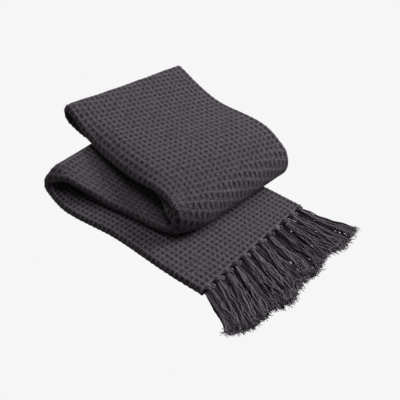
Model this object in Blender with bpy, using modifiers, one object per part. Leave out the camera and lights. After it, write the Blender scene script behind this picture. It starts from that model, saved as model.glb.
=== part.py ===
"""A waffle weave cotton throw with a knotted fringe, folded in four lengthwise and then back and forth.

Lengths are in metres and the floor is z = 0. The lowest run of the folded strip lies along Y with its
fringed end towards -Y. The throw's lengthwise folds are on the -X side of the strip, its selvedges on
the +X side. "Left" and "right" are those two sides.
"""

import math
from collections import namedtuple

import bmesh
import bpy
import numpy as np
from mathutils import Matrix

# The cloth, and the strip that it makes when folded in four lengthwise
CLOTH_THICKNESS = 0.0038
LAYER_PITCH = 0.0046
STRIP_WIDTH = 0.315
STRIP_THICKNESS = 3 * LAYER_PITCH + CLOTH_THICKNESS

# The folds of the strip, in the order in which they lie along it from the fringed end.
# left, right: distance along the strip's two sides from the fold before, or from the fringed end
# up: the strip turns up (1) or down (-1)
# rise_left, rise_right: height between the runs on either side of the fold
# bend_left, bend_middle, bend_right: radius of the bend in the middle of the strip's thickness
# swell: how much thicker the strip is in the bend, where its inner layers bunch up
# ease_in, ease_out: how far before and after the bend the strip lies off its run, 0 for flat
Fold = namedtuple(
    "Fold",
    "name left right up rise_left rise_right bend_left bend_middle bend_right swell ease_in ease_out",
)
FOLDS = (
    Fold("back_low", 0.4500, 0.4710, 1, 0.0186, 0.0186, 0.0235, 0.0200, 0.0203, 0.5, 0.0, 0.12),
    Fold("front", 0.3660, 0.4135, 1, 0.0425, 0.0425, 0.0232, 0.0232, 0.0232, 0.5, 0.0, 0.07),
    Fold("back_top", 0.4745, 0.4420, -1, 0.0196, 0.0196, 0.0165, 0.0135, 0.0125, 0.2, 0.06, 0.06),
)
LAST_RUN_LEFT = 0.430
LAST_RUN_RIGHT = 0.390
EASE_RADIUS = 0.08
MOST_EASING_ANGLE = 0.9

# How far the strip's two sides lie inwards of and above their places on even folds. Each row's place is
# counted in folds from the fringed end, which is 0. The fourth run lies below the third and is like it.
Side = namedtuple("Side", "name place left_in left_up right_in right_up")
SIDES = (
    Side("fringed end", 0.0, 0.0, 0.0, 0.0, 0.0),
    Side("lowest run, front", 0.2, -0.005, 0.0, -0.003, 0.0),
    Side("lowest run, middle", 0.6, 0.0, 0.0, 0.0, 0.0),
    Side("low fold at the back", 1.0, 0.0205, 0.0, 0.0, 0.0),
    Side("second run", 1.5, 0.0295, 0.0, 0.0, 0.0),
    Side("front fold", 2.0, 0.0165, 0.0, 0.0, 0.0),
    Side("third run, front", 2.25, 0.0195, 0.0110, -0.0110, 0.0105),
    Side("third run, back", 2.6, -0.0015, 0.0165, 0.0100, 0.0070),
    Side("top fold at the back", 3.0, -0.0170, 0.0260, 0.0075, 0.0170),
)

# The upper two runs hang down a little at their left side, and the sides of the fourth are tucked in
HANG_DEPTH = 0.003
HANG_SHARE = 0.15
TUCK_DEPTH = 0.008
HANG_FADE = 0.4

# The fringe: a header a little off the cloth's edge, and tassels of locks in two tiers, each with a knot
HEADER_GAP = 0.0003
HEADER_LENGTH = 0.006
TASSEL_SPACING = 0.0266
LOCKS_IN_TASSEL = 3
LOCK_ROOT_SPACING = 0.0034
LOCK_TIP_SPACING = 0.0100
KNOT_FORWARD = -0.0118
KNOT_WIDTH = 0.0128
KNOT_SEGMENTS = 7
KNOT_RINGS = 4
Tier = namedtuple("Tier", "name first tassels root_bottom rest_bottom knot_height")
TIERS = (
    Tier("lower", 0.0243, 11, 0.0035, 0.0, 0.0068),
    Tier("upper", 0.0110, 12, 0.0110, 0.0064, 0.0138),
)

# How far the locks' tips lie to the right of and in front of their roots, across the strip
TIP_ASIDE_LEFT = -0.055
TIP_ASIDE_MIDDLE = -0.044
TIP_ASIDE_RIGHT = 0.020
TIP_FORWARD_LEFT = -0.092
TIP_FORWARD_MIDDLE = -0.134
TIP_FORWARD_RIGHT = -0.128
TIP_UNEVENNESS = 0.006
LEAN_POWER = 1.4
TIP_PATTERN = (0.3, -0.8, 0.9, -0.1, -0.5, 0.6, -1.0, 0.2, 0.8, -0.4, 0.5)

# A lock's sections: share of its length, width, height, and how far down it has come from its root
LockSection = namedtuple("LockSection", "share width height fallen")
LOCK_SECTIONS = (
    LockSection(0.0, 0.0030, 0.0050, 0.0),
    LockSection(0.18, 0.0040, 0.0056, 0.5),
    LockSection(0.45, 0.0056, 0.0060, 1.0),
    LockSection(0.80, 0.0062, 0.0060, 1.0),
    LockSection(1.0, 0.0036, 0.0040, 1.0),
)

# Materials: red, green and blue (linear), and roughness. Dark charcoal with a little purple.
CLOTH_COLOUR = (0.060, 0.053, 0.062)
FRINGE_COLOUR = (0.062, 0.055, 0.063)
COTTON_ROUGHNESS = 0.95

# Steps along the strip and across the cloth
RUN_STEPS = 5
EASE_STEPS = 3
BEND_STEPS = 9
LAYER_STEPS = 6
OUTER_TURN_STEPS = 6
INNER_TURN_STEPS = 4
SOLVE_STEPS = 40


def curve_across(left, middle, right, across):
    """A value on the smooth curve through its values at the strip's left side, middle and right side."""
    return left + (4 * middle - 3 * left - right) * across + (2 * left + 2 * right - 4 * middle) * across ** 2


def net_rise(fold, bend, angle):
    """Height between the two runs of a fold whose bend goes this angle past its half turn."""
    total = 0.0
    for ease in (fold.ease_in, fold.ease_out):
        if ease:
            total += bend * math.cos(angle) - ease * math.sin(angle) - EASE_RADIUS * (1 - math.cos(angle))
        else:
            total += bend
    return total


def easing_angle(fold, bend, rise):
    """How far past the half turn the bend goes on each eased side, so that the runs end up rise apart."""
    low, high = 0.0, MOST_EASING_ANGLE
    for _ in range(SOLVE_STEPS):
        middle = (low + high) / 2
        if net_rise(fold, bend, middle) > rise:
            low = middle
        else:
            high = middle
    return low


def fold_pieces(fold, across):
    """The fold as arcs and straights, each a (length, angle turned), and where its middle is along them."""
    bend = curve_across(fold.bend_left, fold.bend_middle, fold.bend_right, across)
    rise = fold.rise_left + (fold.rise_right - fold.rise_left) * across
    angle = easing_angle(fold, bend, rise)
    before = angle if fold.ease_in else 0.0
    after = angle if fold.ease_out else 0.0
    turned = math.pi + before + after
    pieces = (
        (EASE_RADIUS * before, -before),
        (fold.ease_in, 0.0),
        (bend * turned, turned),
        (fold.ease_out, 0.0),
        (EASE_RADIUS * after, -after),
    )
    middle = EASE_RADIUS * before + fold.ease_in + bend * (math.pi / 2 + before)
    return pieces, middle


def along_pieces(pieces, distances):
    """How far forward and up the strip is, and its slope, at these distances along a fold's pieces."""
    forward = np.minimum(distances, 0.0)
    height = np.zeros_like(distances)
    slope = np.zeros_like(distances)
    left_over = distances.copy()
    for length, turned in pieces:
        step = np.clip(left_over, 0.0, length)
        if turned:
            radius = length / turned
            after = slope + step / radius
            forward += radius * (np.sin(after) - np.sin(slope))
            height += radius * (np.cos(slope) - np.cos(after))
            slope = after
        else:
            forward += step * np.cos(slope)
            height += step * np.sin(slope)
        left_over -= length
    beyond = np.maximum(left_over, 0.0)
    return forward + beyond * np.cos(slope), height + beyond * np.sin(slope), slope


def stations(fold_spots, end):
    """Distances along the strip at which it has a point: few on its runs, many in its bends."""
    spots = [np.array([0.0])]
    reached = 0.0
    for spot, pieces, middle, cosine in fold_spots:
        lengths = [length / cosine for length, _ in pieces]
        start = spot - middle / cosine
        for goal, steps in (
            (start, RUN_STEPS),
            (start + lengths[0] + lengths[1], EASE_STEPS if lengths[1] else 0),
            (start + sum(lengths[:3]), BEND_STEPS),
            (start + sum(lengths), EASE_STEPS if lengths[3] else 0),
        ):
            if steps:
                spots.append(np.linspace(reached, goal, steps + 1)[1:])
                reached = goal
    spots.append(np.linspace(reached, end, RUN_STEPS + 1)[1:])
    return np.concatenate(spots)


def fold_directions():
    """For each fold: the plan directions of travel before it, out of it and along its line."""
    found = []
    ends = np.array([[0.0, 0.0], [STRIP_WIDTH, 0.0]])
    travel = np.array([0.0, 1.0])
    walked = np.zeros(2)
    for fold in FOLDS:
        creases = ends + travel * (np.array([fold.left, fold.right]) - walked)[:, None]
        line = creases[1] - creases[0]
        line /= np.linalg.norm(line)
        outward = np.array([-line[1], line[0]])
        outward *= np.sign(outward @ travel)
        found.append((travel, outward, line))
        cosine, sine = travel @ outward, travel @ line
        for side in (0, 1):
            pieces, middle = fold_pieces(fold, side)
            length = sum(piece[0] for piece in pieces)
            forward, _, _ = along_pieces(pieces, np.array([length]))
            walked[side] = (length - middle) / cosine
            ends[side] = creases[side] + outward * (forward[0] - middle) + line * sine * walked[side]
        travel = sine * line - cosine * outward
    return found


def between_rows(column, folds_passed):
    """A value on the smooth curve through one column of SIDES."""
    row = np.interp(folds_passed, [side.place for side in SIDES], range(len(SIDES)))
    values = [getattr(side, column) for side in SIDES]
    values = np.array(values[:1] + values + values[-1:])
    first = np.clip(np.floor(row).astype(int), 0, len(SIDES) - 2)
    t = row - first
    before, start, end, after = (values[first + step] for step in range(4))
    curved = 2 * before - 5 * start + 4 * end - after
    return start + 0.5 * t * (end - before + t * (curved + t * (3 * (start - end) + after - before)))


def side_shift(across, folds_passed, underneath):
    """How far in towards the strip's middle line and up its points lie, at these places along it."""
    share = np.clip(folds_passed - 2, 0.0, 1.0)
    fade = np.clip(np.minimum(share, 1 - share) / HANG_FADE, 0.0, 1.0)
    fade = fade * fade * (3 - 2 * fade)
    tuck = np.where(underneath, TUCK_DEPTH * fade, 0.0)
    hang = HANG_DEPTH * fade * max(0.0, 1 - across / HANG_SHARE) ** 2
    left_in = between_rows("left_in", folds_passed) + tuck
    right_in = between_rows("right_in", folds_passed) + tuck
    left_up = np.maximum(between_rows("left_up", folds_passed), 0.0)
    right_up = np.maximum(between_rows("right_up", folds_passed), 0.0)
    inwards = left_in * (1 - across) - right_in * across
    upwards = left_up * (1 - across) + right_up * across - hang
    return inwards, upwards


def strip_column(across, directions):
    """The strip along one line of its length, at this share of its width, at each station along it.

    Returns points and normals of the middle of its thickness, the side of it that lies inside the bend
    (1 along the normal, -1 against it) and how much thicker it is there.
    """
    fold_spots = []
    reached = 0.0
    for fold, (travel, outward, _) in zip(FOLDS, directions):
        reached += fold.left + (fold.right - fold.left) * across
        pieces, middle = fold_pieces(fold, across)
        fold_spots.append((reached, pieces, middle, travel @ outward))
    last_run = LAST_RUN_LEFT + (LAST_RUN_RIGHT - LAST_RUN_LEFT) * across
    along = stations(fold_spots, reached + last_run)
    points = np.zeros((len(along), 3))
    normals = np.zeros((len(along), 3))
    inside = np.zeros(len(along))
    swollen = np.zeros(len(along))
    base = np.array([(across - 0.5) * STRIP_WIDTH, 0.0])
    base_along, base_height, facing = 0.0, STRIP_THICKNESS / 2, 1.0
    for fold, (travel, outward, line), (spot, pieces, middle, cosine) in zip(FOLDS, directions, fold_spots):
        crease = base + travel * (spot - base_along)
        sine = travel @ line
        here = along >= base_along
        past = along[here] - spot
        forward, height, slope = along_pieces(pieces, middle + cosine * past)
        forward -= middle
        points[here, :2] = crease + forward[:, None] * outward + (sine * past)[:, None] * line
        points[here, 2] = base_height + fold.up * height
        normals[here, :2] = -(facing * fold.up * np.sin(slope))[:, None] * outward
        normals[here, 2] = facing * np.cos(slope)
        inside[here] = facing * fold.up
        swollen[here] = fold.swell * np.sin(np.clip(slope, 0.0, math.pi))
        last = sum(length for length, _ in pieces)
        forward, height, _ = along_pieces(pieces, np.array([last]))
        base_along = spot + (last - middle) / cosine
        base = crease + (forward[0] - middle) * outward + sine * (base_along - spot) * line
        base_height += fold.up * height[0]
        facing = -facing
    spots = [0.0] + [fold_spot[0] for fold_spot in fold_spots]
    back_again = 2 * spots[3] - spots[2]
    turn = np.interp(along, spots + [back_again], [0.0, 1.0, 2.0, 3.0, 4.0])
    inwards, upwards = side_shift(across, np.where(turn > 3.0, 6.0 - turn, turn), turn > 3.0)
    lines = np.array([directions[0][2]] + [direction[2] for direction in directions])
    for axis in (0, 1):
        points[:, axis] += inwards * np.interp(np.minimum(turn, 3.0), range(4), lines[:, axis])
    points[:, 2] += upwards
    travel, _, line = directions[2]
    drawn_under = 2 * (travel @ line) * np.maximum(along - spots[3], 0.0)
    points[:, :2] -= drawn_under[:, None] * line
    return points, normals, inside, swollen


def in_strip(column, offset):
    """Points of the column at this offset from the middle of the strip's thickness."""
    points, normals, inside, swollen = column
    depth = (offset * inside + STRIP_THICKNESS / 2) * (1 + swollen) - STRIP_THICKNESS / 2
    return points + (inside * depth)[:, None] * normals


def arc(middle_across, middle_offset, radius, start, turned, steps):
    """Points of the folded cloth's path round one of its lengthwise folds, without the first."""
    angles = [start + turned * step / steps for step in range(1, steps + 1)]
    return [(middle_across + radius * math.cos(a), middle_offset + radius * math.sin(a)) for a in angles]


def layer(start, end, offset, steps):
    """Points of one flat layer of the folded cloth, without the first."""
    return [(start + (end - start) * step / steps, offset) for step in range(1, steps + 1)]


def cloth_path(layer_steps):
    """The folded cloth seen from its end: (across, offset) in metres, from one selvedge to the other."""
    quarter_turn = math.pi / 2
    outer, inner = 1.5 * LAYER_PITCH, 0.5 * LAYER_PITCH
    left = outer + CLOTH_THICKNESS / 2
    right = STRIP_WIDTH - inner - CLOTH_THICKNESS / 2
    path = [(STRIP_WIDTH, -outer)]
    path += layer(STRIP_WIDTH, left, -outer, layer_steps)
    path += arc(left, 0.0, outer, -quarter_turn, -math.pi, OUTER_TURN_STEPS)
    path += layer(left, right, outer, layer_steps)
    path += arc(right, LAYER_PITCH, inner, quarter_turn, -math.pi, INNER_TURN_STEPS)
    path += layer(right, left, inner, layer_steps)
    path += arc(left, 0.0, inner, quarter_turn, math.pi, INNER_TURN_STEPS)
    path += layer(left, STRIP_WIDTH, -inner, layer_steps)
    return path


def cloth_grid():
    """The middle surface of the folded cloth: an array of points, by place on the path and by station."""
    directions = fold_directions()
    rows = []
    for across, offset in cloth_path(LAYER_STEPS):
        rows.append(in_strip(strip_column(across / STRIP_WIDTH, directions), offset))
    return np.array(rows)


def grid_object(name, grid):
    """An open sheet through a grid of points."""
    rows, columns = grid.shape[:2]
    faces = [
        (r * columns + c, r * columns + c + 1, (r + 1) * columns + c + 1, (r + 1) * columns + c)
        for r in range(rows - 1)
        for c in range(columns - 1)
    ]
    mesh = bpy.data.meshes.new(name)
    mesh.from_pydata(grid.reshape(-1, 3).tolist(), [], faces)
    mesh.shade_smooth()
    return bpy.data.objects.new(name, mesh)


def thicken(piece, thickness):
    shell = piece.modifiers.new("cloth thickness", "SOLIDIFY")
    shell.thickness = thickness
    shell.offset = 0.0


def cotton(name, colour):
    material = bpy.data.materials.new(name)
    material.use_nodes = True
    shader = material.node_tree.nodes["Principled BSDF"]
    shader.inputs["Base Color"].default_value = (*colour, 1.0)
    shader.inputs["Roughness"].default_value = COTTON_ROUGHNESS
    shader.inputs["Metallic"].default_value = 0.0
    return material


def make_blanket():
    blanket = grid_object("blanket", cloth_grid())
    thicken(blanket, CLOTH_THICKNESS)
    blanket.data.materials.append(cotton("woven cotton", CLOTH_COLOUR))
    return blanket


def header_grid():
    """The middle surface of the fringe's header, which follows the folded cloth's end."""
    rows = []
    for across, offset in cloth_path(1):
        place = (across - STRIP_WIDTH / 2, STRIP_THICKNESS / 2 + offset)
        rows.append([(place[0], y, place[1]) for y in (-HEADER_GAP, -HEADER_GAP - HEADER_LENGTH)])
    return np.array(rows)


def lock_path(root, share, lock_number):
    """Where a lock is in plan at this share of its length: it leaves the cloth straight, then leans."""
    across = root / STRIP_WIDTH + 0.5
    uneven = TIP_UNEVENNESS * TIP_PATTERN[lock_number % len(TIP_PATTERN)]
    fan = (lock_number % LOCKS_IN_TASSEL - (LOCKS_IN_TASSEL - 1) / 2) * (LOCK_TIP_SPACING - LOCK_ROOT_SPACING)
    aside = curve_across(TIP_ASIDE_LEFT, TIP_ASIDE_MIDDLE, TIP_ASIDE_RIGHT, across) + fan
    forward = curve_across(TIP_FORWARD_LEFT, TIP_FORWARD_MIDDLE, TIP_FORWARD_RIGHT, across) + uneven
    x = root + aside * share ** LEAN_POWER
    y = KNOT_FORWARD + (forward - KNOT_FORWARD) * share
    return x, y


def add_lock(shapes, root, tier, lock_number):
    """A four-sided lock of yarn that leaves its knot at x = root and comes to rest level."""
    rings = []
    for section in LOCK_SECTIONS:
        x, y = lock_path(root, section.share, lock_number)
        bottom = tier.root_bottom + (tier.rest_bottom - tier.root_bottom) * section.fallen
        half = section.width / 2
        corners = ((-half, 0.0), (half, 0.0), (half, section.height), (-half, section.height))
        rings.append([shapes.verts.new((x + aside, y, bottom + up)) for aside, up in corners])
    for ring, following in zip(rings, rings[1:]):
        for corner in range(4):
            after = (corner + 1) % 4
            shapes.faces.new((ring[corner], following[corner], following[after], ring[after]))
    shapes.faces.new(rings[0])
    shapes.faces.new(reversed(rings[-1]))


def add_knot(shapes, x, height):
    place = Matrix.Translation((x, KNOT_FORWARD, height)) @ Matrix.Rotation(math.pi / 2, 4, "Y")
    bmesh.ops.create_uvsphere(
        shapes, u_segments=KNOT_SEGMENTS, v_segments=KNOT_RINGS, radius=KNOT_WIDTH / 2, matrix=place
    )


def make_tassels():
    """All knots and locks in one mesh, each still a body of its own."""
    shapes = bmesh.new()
    for tier in TIERS:
        for tassel in range(tier.tassels):
            x = tier.first + tassel * TASSEL_SPACING - STRIP_WIDTH / 2
            add_knot(shapes, x, tier.knot_height)
            for lock in range(LOCKS_IN_TASSEL):
                root = x + (lock - (LOCKS_IN_TASSEL - 1) / 2) * LOCK_ROOT_SPACING
                add_lock(shapes, root, tier, tassel * LOCKS_IN_TASSEL + lock)
    bmesh.ops.recalc_face_normals(shapes, faces=shapes.faces)
    mesh = bpy.data.meshes.new("tassels")
    shapes.to_mesh(mesh)
    shapes.free()
    return bpy.data.objects.new("tassels", mesh)


def make_fringe(tassels):
    """The header with all tassels joined to it in one body."""
    fringe = grid_object("fringe", header_grid())
    thicken(fringe, CLOTH_THICKNESS)
    joined = fringe.modifiers.new("tassels", "BOOLEAN")
    joined.operation = "UNION"
    joined.solver = "EXACT"
    joined.use_self = True
    joined.object = tassels
    fringe.data.materials.append(cotton("cotton yarn", FRINGE_COLOUR))
    return fringe


def clear_scene():
    for old in list(bpy.data.objects):
        bpy.data.objects.remove(old, do_unlink=True)


def centre_on_origin(shown, guides):
    """Moves everything sideways until the middle of the shown pieces' box is above the origin."""
    bpy.context.view_layer.update()
    graph = bpy.context.evaluated_depsgraph_get()
    corners = [corner for piece in shown for corner in piece.evaluated_get(graph).bound_box]
    low = np.min(corners, axis=0)
    high = np.max(corners, axis=0)
    middle = (low + high) / 2
    for piece in shown + guides:
        piece.data.transform(Matrix.Translation((-middle[0], -middle[1], 0.0)))


def main():
    clear_scene()
    collection = bpy.data.collections.new("waffle weave throw")
    guide_collection = bpy.data.collections.new("guides")
    bpy.context.scene.collection.children.link(collection)
    bpy.context.scene.collection.children.link(guide_collection)
    tassels = make_tassels()
    tassels.hide_render = True
    tassels.display_type = "WIRE"
    guide_collection.objects.link(tassels)
    blanket = make_blanket()
    fringe = make_fringe(tassels)
    collection.objects.link(blanket)
    collection.objects.link(fringe)
    centre_on_origin([blanket, fringe], [tassels])


if __name__ == "__main__":
    main()
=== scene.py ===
"""A folded waffle weave cotton throw with a knotted fringe, for a product picture.

Lengths are in metres and the floor is z = 0. The throw is folded in four lengthwise, and the strip that
this makes is folded back and forth. Its lowest run lies along Y with the fringed end towards -Y, its
lengthwise folds on the left (-X) and its selvedges on the right (+X).
"""

import math
from collections import namedtuple

import bpy
import numpy as np
from mathutils import Matrix, Vector
from mathutils.bvhtree import BVHTree


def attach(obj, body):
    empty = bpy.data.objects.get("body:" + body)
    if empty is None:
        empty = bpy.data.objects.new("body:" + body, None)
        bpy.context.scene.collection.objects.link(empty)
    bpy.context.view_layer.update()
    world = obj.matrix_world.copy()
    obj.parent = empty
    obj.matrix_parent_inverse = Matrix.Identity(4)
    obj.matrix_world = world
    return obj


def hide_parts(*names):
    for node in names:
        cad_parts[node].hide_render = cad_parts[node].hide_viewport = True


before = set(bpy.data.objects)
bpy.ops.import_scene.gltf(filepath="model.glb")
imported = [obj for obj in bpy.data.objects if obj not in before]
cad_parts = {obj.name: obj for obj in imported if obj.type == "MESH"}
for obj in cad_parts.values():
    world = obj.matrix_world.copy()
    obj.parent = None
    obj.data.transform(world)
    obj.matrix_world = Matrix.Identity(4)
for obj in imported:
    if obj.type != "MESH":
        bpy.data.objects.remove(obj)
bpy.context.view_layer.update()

bl_info = {
    "name": "Waffle Weave Throw",
    "version": (1, 0, 0),
    "blender": (4, 5, 0),
    "location": "3D View > Sidebar > Throw",
    "description": "Builds a folded waffle weave throw with a knotted fringe",
    "category": "Object",
}

BODY = "root"
SMOOTH_ANGLE = 60.0

# Where the middle of the fringed end lies on the floor
PLACE = (-0.0607, -0.2004)

# The cloth as cut, and the strip that it makes when folded in four lengthwise
FLAT_LENGTH = 1.72
CLOTH_THICKNESS = 0.0038
LAYER_PITCH = 0.0046
STRIP_WIDTH = 0.315
STRIP_THICKNESS = 3 * LAYER_PITCH + CLOTH_THICKNESS

# The folds of the strip, in their order along it from the fringed end.
# left, right: distance along the strip's two sides from the fold before, or from the fringed end
# up: the strip turns up (1) or down (-1)
# rise_left, rise_right: height between the runs on either side of the fold
# bend_left, bend_middle, bend_right: radius of the bend in the middle of the strip's thickness
# swell: how much thicker the strip is in the bend, where its inner layers bunch up
# ease_in, ease_out: how far before and after the bend the strip lies off its run, 0 for flat
Fold = namedtuple(
    "Fold",
    "name left right up rise_left rise_right bend_left bend_middle bend_right swell ease_in ease_out",
)
FOLDS = (
    Fold("back_low", 0.4500, 0.4710, 1, 0.0186, 0.0186, 0.0235, 0.0200, 0.0203, 0.5, 0.0, 0.12),
    Fold("front", 0.3660, 0.4135, 1, 0.0425, 0.0425, 0.0232, 0.0232, 0.0232, 0.5, 0.0, 0.07),
    Fold("back_top", 0.4745, 0.4420, -1, 0.0196, 0.0196, 0.0165, 0.0135, 0.0125, 0.2, 0.06, 0.06),
)
# The radius by which the strip eases on to and off its run, the most that a bend may go past its half turn
# for this, and the halvings in which that angle is found
EASE_RADIUS = 0.08
MOST_EASING_ANGLE = 0.9
SOLVE_STEPS = 40

# How far the strip's two sides lie inwards of and above their places on even folds. Each row's place is
# counted in folds from the fringed end, which is 0. The fourth run lies below the third and is like it.
Side = namedtuple("Side", "name place left_in left_up right_in right_up")
SIDES = (
    Side("fringed end", 0.0, -0.0060, 0.0, 0.0, 0.0),
    Side("lowest run, front", 0.2, -0.0040, 0.0, -0.003, 0.0),
    Side("lowest run, middle", 0.5, 0.0050, 0.0, 0.0, 0.0),
    Side("lowest run, back", 0.8, -0.0010, 0.0, 0.0, 0.0),
    Side("low fold at the back", 1.0, 0.0205, 0.0, 0.0, 0.0),
    Side("second run", 1.5, 0.0295, 0.0, 0.0, 0.0),
    Side("front fold", 2.0, 0.0165, 0.0, 0.0, 0.0),
    Side("third run, front", 2.25, 0.0195, 0.0110, -0.0140, 0.0125),
    Side("third run, back", 2.6, -0.0015, 0.0165, 0.0100, 0.0070),
    Side("top fold at the back", 3.0, -0.0170, 0.0260, 0.0075, 0.0170),
)

# What the left side of the strip does besides. Each is full at this place along the strip, counted in
# folds, and fades out before and after it. Across the strip it is at its most at the side itself, and
# reaches this share of the width.
Shaping = namedtuple("Shaping", "name place before after share inwards upwards forwards")
SHAPINGS = (
    Shaping("pinched end of the low fold", 1.06, 0.085, 0.085, 0.11, -0.004, -0.025, 0.005),
    Shaping("rounded corner of the front fold", 1.98, 0.14, 0.12, 0.25, 0.003, 0.004, 0.022),
    Shaping("third run hanging over the fourth", 2.55, 0.26, 0.27, 0.15, -0.004, -0.022, 0.0),
    Shaping("fourth run tucked in", 3.48, 0.19, 0.22, 1.0, 0.022, 0.0, 0.0),
    Shaping("raised side of the top fold", 3.0, 0.12, 0.10, 0.60, 0.0, 0.005, 0.0),
    Shaping("full back of the low fold", 1.08, 0.08, 0.10, 0.70, 0.0, 0.004, 0.003),
    Shaping("lowered corner of the top fold", 2.98, 0.06, 0.04, 0.07, 0.0, -0.005, 0.0),
    Shaping("corner of the cloth's last end", 3.88, 0.06, 0.20, 0.25, -0.010, 0.002, 0.0),
)
# A shaping has faded out at this many times its before and after, and is full for longer the more this
# fullness is above 1
SHAPING_SPREAD = 1.6
SHAPING_FULLNESS = 1.25

# The weave: cells of the waffle across each layer and round its turns, and steps in a cell
LAYER_CELLS = 25
OUTER_TURN_CELLS = 2
INNER_TURN_CELLS = 1
CELL_PLACES = (0.0, 0.28, 0.5, 0.72)
CELL_STEPS = len(CELL_PLACES)
# Out of sight the cloth is plain. Its faces there are up to this many cells wide, and as long as a cell
# where it turns by less than this angle from one cell to the next.
COARSE_CELLS = 5
COARSE_TURN_ANGLE = 0.35
# Whether a cell can be seen is tried from above, and along rings of directions at these angles from the
# floor, from a little above its middle and not too flatly
ViewRing = namedtuple("ViewRing", "rise count")
VIEW_RINGS = (ViewRing(0.12, 16), ViewRing(0.45, 12), ViewRing(0.95, 8))
VIEW_GAP = 0.0005
LEAST_FACING = 0.05

# Length of a cell along the throw, and how far its rows lean along the throw per metre across it
Row = namedtuple("Row", "place pitch lean")
ROWS = (
    Row(0.00, 0.0113, 0.0),
    Row(0.05, 0.0113, -0.045),
    Row(0.12, 0.0115, -0.070),
    Row(0.45, 0.0125, 0.0),
    Row(0.70, 0.0135, -0.03),
    Row(0.82, 0.0145, -0.080),
    Row(0.88, 0.0150, -0.090),
    Row(1.00, 0.0159, -0.090),
    Row(1.30, 0.0159, -0.090),
    Row(1.72, 0.0150, -0.0127),
)
# The waffle in relief: how steep its hollows are across and along the throw, the shares of the full depth
# that they have, and how uneven its surface is
HOLLOW_STEEPNESS = (2.6, 1.8)
HOLLOW_SHARES = (0.55, 1.0)
RIDGE_UNEVENNESS = 0.0003
CLOTH_SEED = 7
# The rows, counted from the fringed end, where the cloth lies slack and its hollows are shallow, with less
# painted shade in its slits, and those where the painted highlight on its crests is faint, how fast both set
# in from row to row, and by what share they are less
SLACK_ROWS = (41.0, 66.0)
FAINT_CREST_ROWS = (41.0, 77.0)
SLACK_GROWTH = 0.3
SLACK_SHARE = 0.4
# How far the rows stray along the throw, and the waves that they do it in, which fade out near its ends
WAVER = 0.0005
Wave = namedtuple("Wave", "share length slant start")
WAVER_WAVES = (Wave(1.0, 0.11, 2.3, 0.0), Wave(0.6, 0.047, -5.1, 0.3))
WAVER_FADE = 0.05
# The dark slits of the weave, painted shade in its hollows, in cells: their half widths and slant, how
# ragged their edges are, how dark they are in the middle (1 is full), how fast they fade outwards, and how
# dark each is by chance
SLIT_WIDTHS = (0.135, 0.29)
SLIT_SLANT = 0.42
SLIT_GRAIN = 420.0
SLIT_RAGGEDNESS = 0.7
SLIT_DARKNESS = 2.0
SLIT_FADING = 1.3
LEAST_DARKNESS = 0.70
MORE_DARKNESS = 0.35
# The light crests, a painted highlight along the ridges, by how far from a cell's middle they start and how
# sharp they are, and a cell's yarns
CREST_START = 0.385
CREST_SHARPNESS = 12.0
CELL_YARNS = 11.0
# Uneven places: how fine they are, and the start and gain by which they come out
Mottling = namedtuple("Mottling", "scale detail start gain")
SLIT_PATCHES = Mottling(22.0, 1.0, 0.12, 2.6)
COTTON_MOTTLING = Mottling(340.0, 4.0, 0.3, 2.5)
MOTTLING_HEIGHT = 3.0
# The darkest and lightest shades of the cloth's plain parts and its crests, as shares of its colour; the
# crests' extra lightness is a painted highlight
PLAIN_SHADES = (0.10, 1.5)
CREST_HIGHLIGHT_SHADES = (0.2, 3.3)

# The fringe: a header a little off the cloth's edge, and tassels of yarns in four tiers, two of them knotted
HEADER_GAP = 0.0003
HEADER_LENGTH = 0.0026
# The header's section: places across in half thicknesses of the cloth, and forwards in shares of its length
HEADER_SECTION = (
    (-1.0, 0.25),
    (-0.6, 0.0),
    (0.6, 0.0),
    (1.0, 0.25),
    (1.0, 0.8),
    (0.5, 1.0),
    (-0.5, 1.0),
    (-1.0, 0.8),
)
TASSEL_SPACING = 0.0266
# first: place of the tier's first tassel, from the strip's left side
# knot_height: how high its knots lie, if it has any
# start: where its yarns start, in front of the cloth's edge
# root_spread: how wide its tassels are where they start
# root_low, root_high, rest_low, rest_high: heights of its yarns where they start and where they lie
# spread: how far its yarns fan out to each side
Tier = namedtuple(
    "Tier",
    "name first tassels yarns knot_height start root_spread root_low root_high rest_low rest_high spread",
)
TIERS = (
    Tier("lowest", 0.0120, 12, 22, None, -0.0012, 0.0270, 0.0020, 0.0060, 0.0013, 0.0026, 0.0185),
    Tier("low", 0.0243, 11, 13, 0.0070, -0.0068, 0.0070, 0.0040, 0.0080, 0.0024, 0.0046, 0.0175),
    Tier("middle", 0.0050, 12, 13, None, -0.0015, 0.0270, 0.0040, 0.0075, 0.0044, 0.0080, 0.0165),
    Tier("upper", 0.0110, 12, 15, 0.0152, -0.0068, 0.0070, 0.0095, 0.0145, 0.0062, 0.0135, 0.0115),
)
# How far the yarns' ends lie to the right of their roots, at the strip's left side, middle and right side
TIP_ASIDE = (-0.047, -0.046, 0.022)
# How far the yarns' ends lie in front of the cloth's edge, by their place across
TipSpot = namedtuple("TipSpot", "across forward")
TIP_LINE = (
    TipSpot(-0.231, -0.088),
    TipSpot(-0.208, -0.098),
    TipSpot(-0.181, -0.118),
    TipSpot(-0.156, -0.124),
    TipSpot(-0.117, -0.124),
    TipSpot(-0.078, -0.145),
    TipSpot(-0.045, -0.132),
    TipSpot(-0.010, -0.128),
    TipSpot(0.025, -0.134),
    TipSpot(0.060, -0.122),
    TipSpot(0.088, -0.126),
    TipSpot(0.111, -0.138),
    TipSpot(0.142, -0.134),
    TipSpot(0.173, -0.128),
)
LEAN_POWER = 1.1
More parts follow.
